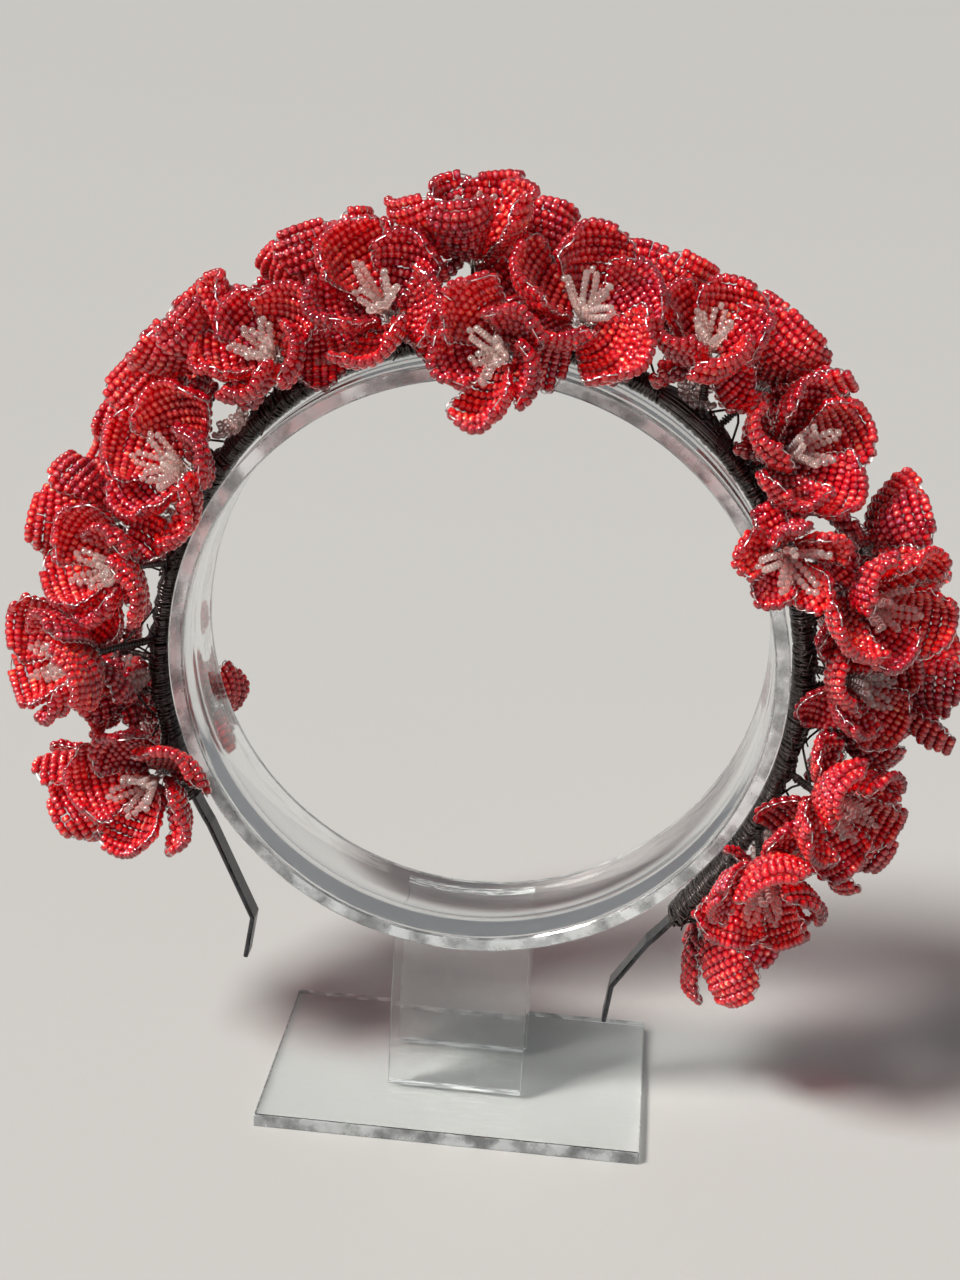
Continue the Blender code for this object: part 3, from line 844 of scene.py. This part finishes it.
def make_metal(name, colour, roughness, metallic, scale, depth):
    made, tree, shader = node_material(name)
    link = tree.links.new
    noise = add_node(tree, "ShaderNodeTexNoise", Scale=scale, Detail=4.0)
    coords = add_node(tree, "ShaderNodeTexCoord")
    link(coords.outputs["Object"], noise.inputs["Vector"])
    rough = add_node(tree, "ShaderNodeMapRange")
    rough.inputs["To Min"].default_value = roughness * 0.7
    rough.inputs["To Max"].default_value = roughness * 1.4
    link(noise.outputs["Fac"], rough.inputs["Value"])
    link(rough.outputs["Result"], shader.inputs["Roughness"])
    shade = ramp(tree, ((0.3, tuple(0.7 * c for c in colour)), (0.7, tuple(1.5 * c for c in colour))))
    link(noise.outputs["Fac"], shade.inputs["Fac"])
    link(shade.outputs["Color"], shader.inputs["Base Color"])
    bump = add_node(tree, "ShaderNodeBump", Strength=0.15, Distance=depth)
    link(noise.outputs["Fac"], bump.inputs["Height"])
    link(bump.outputs["Normal"], shader.inputs["Normal"])
    shader.inputs["Metallic"].default_value = metallic
    shader.inputs["Coat Weight"].default_value = 1.0 - metallic
    shader.inputs["Coat Roughness"].default_value = 0.08
    return made


def make_acrylic(name, colour, roughness, scratch, clear=1.0, saw=0.0):
    """Scratched acrylic; saw is the depth of the saw marks on a cut rim."""
    made, tree, shader = node_material(name)
    link = tree.links.new
    coords = add_node(tree, "ShaderNodeTexCoord")
    stretch = add_node(tree, "ShaderNodeMapping")
    stretch.inputs["Scale"].default_value = (170, 1500, 170)
    stretch.inputs["Rotation"].default_value = (0.3, 0.2, 0.5)
    link(coords.outputs["Object"], stretch.inputs["Vector"])
    noise = add_node(tree, "ShaderNodeTexNoise", Scale=1.0, Detail=6.0)
    link(stretch.outputs["Vector"], noise.inputs["Vector"])
    rough = add_node(tree, "ShaderNodeMapRange")
    rough.inputs["From Min"].default_value = 0.45
    rough.inputs["From Max"].default_value = 0.75
    rough.inputs["To Min"].default_value = roughness
    rough.inputs["To Max"].default_value = roughness + scratch
    link(noise.outputs["Fac"], rough.inputs["Value"])
    link(rough.outputs["Result"], shader.inputs["Roughness"])
    shader.inputs["IOR"].default_value = 1.49
    shader.inputs["Transmission Weight"].default_value = clear
    if saw:
        marks = ramp(tree, ((0.40, tuple(0.35 * c for c in colour)), (0.60, colour)))
        link(noise.outputs["Fac"], marks.inputs["Fac"])
        link(marks.outputs["Color"], shader.inputs["Base Color"])
        bump = add_node(tree, "ShaderNodeBump", Strength=0.6, Distance=saw)
        link(noise.outputs["Fac"], bump.inputs["Height"])
        link(bump.outputs["Normal"], shader.inputs["Normal"])
    else:
        shader.inputs["Base Color"].default_value = (*colour, 1)
    let_light_through(tree, shader, (0.40, 0.41, 0.41))
    return made


ruby = make_ruby()
crystal = make_crystal()
silver_wire = make_metal("silver_wire", (0.62, 0.58, 0.57), 0.25, 1.0, 900, 0.02 * MM)
black_wire = make_metal("black_wire", (0.075, 0.064, 0.061), 0.16, 0.8, 700, 0.02 * MM)
black_steel = make_metal("black_steel", (0.055, 0.055, 0.058), 0.26, 1.0, 300, 0.01 * MM)
acrylic = make_acrylic("clear_acrylic", (0.97, 0.985, 0.985), 0.015, 0.22)
acrylic_rim = make_acrylic("sawn_acrylic_rim", (0.86, 0.90, 0.91), 0.16, 0.45, 0.60, 0.60 * MM)

make_base()
make_cradle("cradle_front", "front_cradle", CRADLE_FRONT_Y)
make_cradle("cradle_back", "back_cradle", CRADLE_BACK_Y)
make_tube()
make_band()
make_winding()
make_side_tufts()
for number, row in enumerate(FLOWERS, 1):
    make_petals(number, row)
    make_stem(number, row)
    make_stamens(number, row)

# Floor, light and camera
CAMERA_AT = Vector((29.5, -376.6, 241.3)) * MM
CAMERA_YAW, CAMERA_PITCH, CAMERA_ROLL = -4.54, -19.93, -3.15
CAMERA_LENS = 54.90


def make_floor():
    shape = bmesh.new()
    bmesh.ops.create_grid(shape, x_segments=1, y_segments=1, size=30.0)
    mesh = bpy.data.meshes.new("floor")
    shape.to_mesh(mesh)
    shape.free()
    made, tree, shader = node_material("pale_floor")
    shader.inputs["Base Color"].default_value = (0.335, 0.335, 0.33, 1)
    shader.inputs["Roughness"].default_value = 0.55
    mesh.materials.append(made)
    mesh.transform(Matrix.Translation((0, 0, -0.05 * MM)))
    floor = bpy.data.objects.new("floor", mesh)
    bpy.context.collection.objects.link(floor)


def add_light(name, at, target, size, power, colour):
    light = bpy.data.lights.new(name, "AREA")
    light.shape = "RECTANGLE"
    light.size, light.size_y = size
    light.energy = power
    light.color = colour
    made = bpy.data.objects.new(name, light)
    made.location = at
    made.rotation_euler = (Vector(target) - Vector(at)).to_track_quat("-Z", "Y").to_euler()
    bpy.context.collection.objects.link(made)


def add_sun(name, towards, power, spread, colour):
    light = bpy.data.lights.new(name, "SUN")
    light.energy = power
    light.angle = math.radians(spread)
    light.color = colour
    made = bpy.data.objects.new(name, light)
    made.rotation_euler = (-Vector(towards)).to_track_quat("-Z", "Y").to_euler()
    bpy.context.collection.objects.link(made)


def make_camera():
    yaw, pitch, roll = (math.radians(v) for v in (CAMERA_YAW, CAMERA_PITCH, CAMERA_ROLL))
    right = Vector((math.cos(yaw), -math.sin(yaw), 0))
    forward = Vector((math.sin(yaw) * math.cos(pitch), math.cos(yaw) * math.cos(pitch), math.sin(pitch)))
    down = -right.cross(forward)
    turned = math.cos(roll) * right + math.sin(roll) * down
    down = -math.sin(roll) * right + math.cos(roll) * down
    camera = bpy.data.cameras.new("camera")
    camera.lens = CAMERA_LENS
    camera.sensor_width = 36
    camera.clip_start = 0.01
    made = bpy.data.objects.new("camera", camera)
    facing = Matrix((turned, -down, -forward)).transposed().to_4x4()
    made.matrix_world = Matrix.Translation(CAMERA_AT) @ facing
    bpy.context.collection.objects.link(made)
    bpy.context.scene.camera = made


make_floor()
make_camera()
add_sun("key", (-0.55, -0.40, 0.85), 6.9, 15, (1.0, 0.96, 0.91))
add_light("fill", (0.8, -0.7, 0.5), (0, 0, 0.1), (0.8, 0.8), 1.4, (0.94, 0.97, 1.0))

world = bpy.data.worlds.new("studio")
world.use_nodes = True
world.node_tree.nodes["Background"].inputs["Color"].default_value = (0.80, 0.82, 0.85, 1)
world.node_tree.nodes["Background"].inputs["Strength"].default_value = 0.26
bpy.context.scene.world = world
bpy.context.scene.view_settings.view_transform = "Standard"
